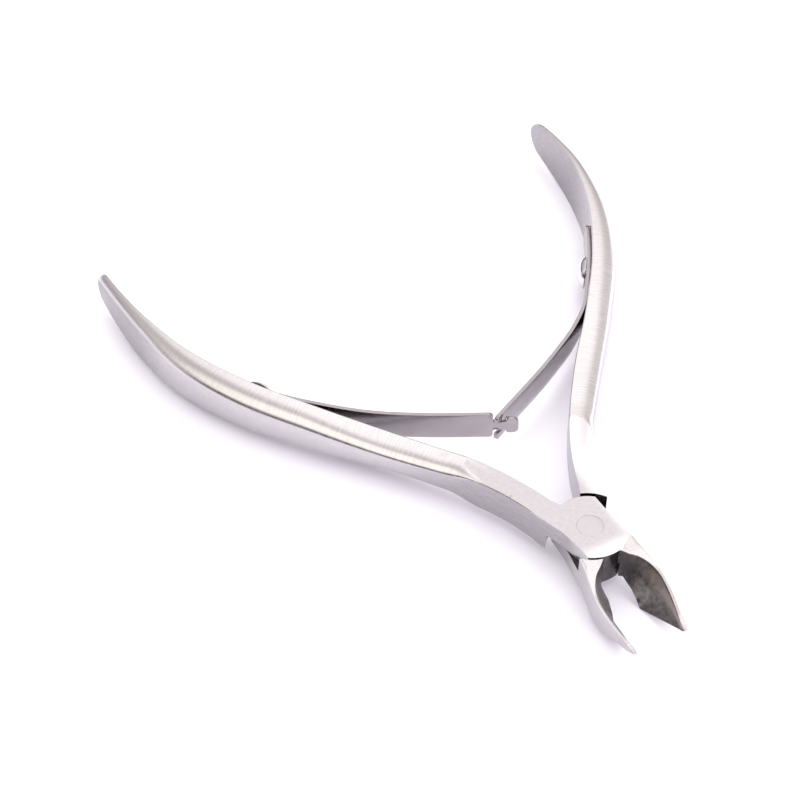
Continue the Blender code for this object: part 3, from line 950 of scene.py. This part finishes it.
def forged_colour(n, grain, mottle, cloud, y):
    """Dark scale of the jaws' hollows, brown at the rim, with a painted sheen band towards the rim
    and painted shade darkest by the throat.
    """
    across = n.split(grain)["Z"]
    scratches = n.noise(grain, *SCRATCHES)
    colour = n.mix(n.fit(mottle, *MOTTLE_AT), *FORGED)
    colour = n.mix(n.fit(scratches, *SCRATCHES_AT), colour, FORGED_SCRATCHES)
    # Painted sheen: a warm light band across the hollow towards the rim
    sheen_band = n.product(n.fit(across, *SHEEN_FROM), n.fit(across, *SHEEN_UNTIL))
    sheen_band = n.product(sheen_band, n.fit(cloud, *CLOUD_AT), n.fit(y, *SHEEN_BEFORE))
    colour = n.mix(sheen_band, colour, PAINTED_SHEEN)
    # Painted shade: the hollow darkens towards the throat
    colour = n.mix(n.fit(y, *THROAT_SHADE_AFTER, 0.0, THROAT_SHADE_SHARE), colour, PAINTED_THROAT_SHADE)
    return n.mix(n.fit(across, *BROWN_FROM, 0.0, BROWN_SHARE), colour, FORGED_BROWN)


def steel_of_levers():
    """Satin steel: brushed across the handles, flat ground at the joint, dark in the hollows, with
    painted shade and painted highlights on some faces.
    """
    n = Nodes(bpy.data.materials.new("satin_steel"))
    grain = n.attribute("grain", "Vector")
    hollow = n.attribute("hollow", "Fac")
    place = n.place()
    x, y, _ = n.split(place)
    slope = n.math("ABSOLUTE", n.split(n.coordinates("Normal"))["Z"])
    radius = n.vector_math("LENGTH", n.stretch(place, (1.0, 1.0, 0.0))).outputs["Value"]
    ground = n.product(n.fit(slope, *GROUND_SLOPE), n.fit(y, *GROUND_BEFORE))
    by_tip = n.fit(y, *TIP_FROM)

    round_rivet = n.add("ShaderNodeCombineXYZ")
    n.feed(round_rivet.inputs["X"], radius)
    n.feed(round_rivet.inputs["Y"], x)
    rings = n.noise(round_rivet.outputs[0], *RINGS)
    grind = n.noise(place, *GRIND)
    ground_lines = n.blend(n.fit(radius, *RINGS_WITHIN), grind, rings)
    ground_lines = n.fit(ground_lines, *SOFTENED)
    brushed = n.noise(grain, *BRUSHED)
    worn = n.blend(by_tip, brushed, n.fit(brushed, *WORN))
    lines = n.blend(ground, worn, ground_lines)

    mottle = n.noise(place, *MOTTLE)
    pits = n.product(n.fit(n.noise(place, *PITS), *PITS_AT), n.fit(y, *PITS_AFTER))
    waves = n.product(n.noise(grain, *WAVES), WAVE_RELIEF)
    height = n.blend(hollow, n.math("ADD", lines, waves), mottle)
    n.bump(n.math("SUBTRACT", height, n.product(pits, PIT_RELIEF)), LEVER_RELIEF)

    # Painted shade: satin darker towards the handle's tip
    satin = n.mix(n.fit(y, *MIDDLE_OF_HANDLE), SATIN_END, SATIN_MIDDLE)
    satin = n.mix(n.fit(lines, *LINES_AT), satin, SATIN_LINES)
    # Painted shade: upright sides darker towards the joint and the tip
    by_joint = n.product(n.fit(y, *NECK_BEFORE), n.fit(y, *NECK_AFTER))
    side_shade = n.fit(n.math("MAXIMUM", by_joint, by_tip), *SIDE_SHADE_AT)
    side_shade_colour = n.mix(n.fit(n.noise(grain, *STREAKS), *TONES_AT), *SIDE_SHADE_TONES)
    satin = n.mix(n.product(n.fit(slope, *UPRIGHT_SLOPE), side_shade), satin, side_shade_colour)
    plain = n.mix(n.fit(grind, *TONES_AT), *GROUND)
    # Painted highlight on the ground flats at the front and at the right
    ground_highlight = n.math("MAXIMUM", n.fit(x, *HIGHLIGHT_RIGHT_OF), n.fit(y, *HIGHLIGHT_BEFORE))
    satin = n.mix(ground, satin, n.mix(ground_highlight, plain, GROUND_HIGHLIGHT))

    colour = n.mix(hollow, satin, forged_colour(n, grain, mottle, n.noise(place, *CLOUD), y))
    colour = n.mix(pits, colour, PIT_COLOUR)
    # Painted shade: the faces inside the joint and the throat are darkened
    colour = n.mix(n.attribute("shade", "Fac"), colour, n.mix(mottle, *SHADE))
    rough = n.blend(ground, n.fit(brushed, *SATIN_ROUGH), GROUND_ROUGH)
    rough = n.math("ADD", rough, n.product(by_tip, TIP_ROUGHER))
    n.surface(colour, n.blend(hollow, rough, n.fit(mottle, *FORGED_ROUGH)))
    return n.owner


def steel_of_springs():
    """Smooth rolled spring steel with faint lines along the strip."""
    n = Nodes(bpy.data.materials.new("spring_steel"))
    rolled = n.noise(n.attribute("grain", "Vector"), *ROLLED)
    n.bump(rolled, SMOOTH_RELIEF)
    n.surface(n.mix(n.noise(n.place(), *CLOUD), *SPRING), n.fit(rolled, *SPRING_ROUGH))
    return n.owner


def steel_of_pivot():
    """Rivet head ground flush with the joint, with the marks of the grinding across it."""
    n = Nodes(bpy.data.materials.new("rivet_steel"))
    place = n.place()
    lines = n.noise(place, *RIVET_LINES)
    n.bump(lines, RIVET_RELIEF)
    n.surface(n.mix(n.noise(place, *RIVET_CLOUD), *RIVET), n.fit(lines, *RIVET_ROUGH))
    return n.owner


def steel_of_heads():
    """Polished rivet heads with light handling marks."""
    n = Nodes(bpy.data.materials.new("polished_steel"))
    marks = n.noise(n.place(), *MARKS)
    n.bump(marks, SMOOTH_RELIEF)
    n.surface(n.mix(marks, *HEAD), n.fit(marks, *HEAD_ROUGH))
    return n.owner


def floor_material():
    """Plain white paper."""
    n = Nodes(bpy.data.materials.new("paper"))
    shader = n.surface(n.mix(n.noise(n.place(), *PAPER), *PAPER_TONES), PAPER_ROUGH, 0.0)
    n.feed(shader.inputs["Specular IOR Level"], PAPER_SPECULAR)
    return n.owner


# ---------------------------------------------------------------- studio

# Two places that the paper touches, as (y, z), its size in metres, and its gap below them
FLOOR_REST = ((-10.2, -2.4), (64.0, -1.7))
FLOOR_SIZE = 3.0
FLOOR_GAP = 0.03

# Key light: place and aim, size in metres, power and colour
KEY_LIGHT = ((120, 160, 700), (0, 25, 0), 1.4, 9.5, (1.0, 0.985, 0.97))

# Sky: its tones and where they turn from left to right, then the dark bands and bright panels
# over it, each with its colour and where it fades in, as (direction, none, full)
SKY = ((0.72, 0.68, 0.69, 1.0), (0.84, 0.79, 0.78, 1.0))
SKY_TURN = (-0.3, 0.4)
SKY_PATCHES = (
    ((0.1, 0.09, 0.09, 1.0), (("height", 0.36, 0.16), ("back", 0.4, 0.6))),
    ((0.05, 0.03, 0.025, 1.0), (("height", 0.4, 0.2), ("right", 0.1, -0.4), ("back", 0.24, 0.0))),
    (
        (1.42, 1.34, 1.27, 1.0),
        (("height", 0.34, 0.5), ("right", -0.18, -0.4), ("back", 0.42, 0.14)),
    ),
    ((1.4, 1.33, 1.34, 1.0), (("right", -0.06, 0.16), ("right", 0.76, 0.5), ("height", 0.4, 0.6))),
)


def make_floor():
    """Paper sheet that touches the jaws' heels and the undersides of the handles."""
    (y0, z0), (y1, z1) = FLOOR_REST
    slope = (z1 - z0) / (y1 - y0)
    half = FLOOR_SIZE / MM / 2
    bm = bmesh.new()
    corners = []
    for x, y in ((-half, -half), (half, -half), (half, half), (-half, half)):
        corners.append(bm.verts.new((x, y, z0 + slope * (y - y0) - FLOOR_GAP)))
    bm.faces.new(corners)
    floor = new_object("floor", bm)
    floor.data.materials.append(floor_material())


def make_world():
    """Soft studio: bright panels overhead and at the left, dark bands low at the left and back."""
    n = Nodes(bpy.data.worlds.new("studio"))
    bpy.context.scene.world = n.owner
    way = n.coordinates("Generated")
    axes = {"right": (1, 0, 0), "back": (0, 1, 0), "height": (0, 0, 1)}
    share = {}
    for name, axis in axes.items():
        share[name] = n.vector_math("DOT_PRODUCT", way, axis).outputs["Value"]
    sky = n.mix(n.fit(share["right"], *SKY_TURN), *SKY)
    for colour, edges in SKY_PATCHES:
        fades = [n.fit(share[name], none, full) for name, none, full in edges]
        sky = n.mix(n.product(*fades), sky, colour)
    background = n.tree.nodes["Background"]
    n.feed(background.inputs["Color"], sky)
    n.feed(background.inputs["Strength"], 1.0)


def add_area(name, place, aim, size, power, colour):
    """Soft square light at a place, turned towards a point, both in millimetres."""
    data = bpy.data.lights.new(name, "AREA")
    data.shape = "SQUARE"
    data.size = size
    data.energy = power
    data.color = colour
    light = bpy.data.objects.new(name, data)
    light.location = Vector(place) * MM
    way = (Vector(aim) - Vector(place)).normalized()
    light.rotation_euler = way.to_track_quat("-Z", "Y").to_euler()
    light.visible_glossy = False
    bpy.context.scene.collection.objects.link(light)


def make_camera():
    """Camera that looks down on the nipper from the front left."""
    azimuth, elevation, roll = (
        math.radians(value) for value in (CAMERA_AZIMUTH, CAMERA_ELEVATION, CAMERA_ROLL)
    )
    back = Vector((
        math.sin(azimuth) * math.cos(elevation),
        -math.cos(azimuth) * math.cos(elevation),
        math.sin(elevation),
    ))
    right = (-back).cross(Vector((0, 0, 1))).normalized()
    up = right.cross(-back)
    turned_right = right * math.cos(roll) + up * math.sin(roll)
    turned_up = up * math.cos(roll) - right * math.sin(roll)
    data = bpy.data.cameras.new("camera")
    data.lens = CAMERA_LENS
    data.sensor_width = CAMERA_SENSOR
    data.clip_start = CAMERA_CLIP
    camera = bpy.data.objects.new("camera", data)
    turn = Matrix((turned_right, turned_up, back)).transposed().to_4x4()
    place = (Vector(CAMERA_AIM) + back * CAMERA_DISTANCE) * MM
    camera.matrix_world = Matrix.Translation(place) @ turn
    bpy.context.scene.collection.objects.link(camera)
    bpy.context.scene.camera = camera


# ---------------------------------------------------------------- assembly

def place_piece(piece, body, node, finish):
    """Give a piece its finish and its body, and hide the CAD node that it stands for."""
    piece.data.materials.clear()
    piece.data.materials.append(finish)
    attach(piece, body)
    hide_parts(node)


def build():
    """Make the seven pieces, and place the levers and rivets each on its body in the frame."""
    satin, spring, head = steel_of_levers(), steel_of_springs(), steel_of_heads()
    for side, word in ((-1, "left"), (1, "right")):
        lever = make_lever(f"{word}_lever_steel", side)
        place_piece(lever, f"{word}_lever", f"lever_{word}", satin)
        rivet = make_spring_rivet(f"{word}_spring_rivet_head", side)
        place_piece(rivet, f"{word}_lever", f"spring_rivet_{word}", head)
        leaf = make_leaf(f"{word}_leaf_strip", side)
        leaf.data.materials.clear()
        leaf.data.materials.append(spring)
        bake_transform(leaf)
        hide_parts(f"leaf_spring_{word}")
    pivot = make_pivot_rivet("pivot_rivet_head")
    place_piece(pivot, "left_lever", "pivot_rivet", steel_of_pivot())


build()
make_floor()
make_world()
make_camera()
add_area("key", *KEY_LIGHT)
bpy.context.scene.view_settings.view_transform = "Standard"
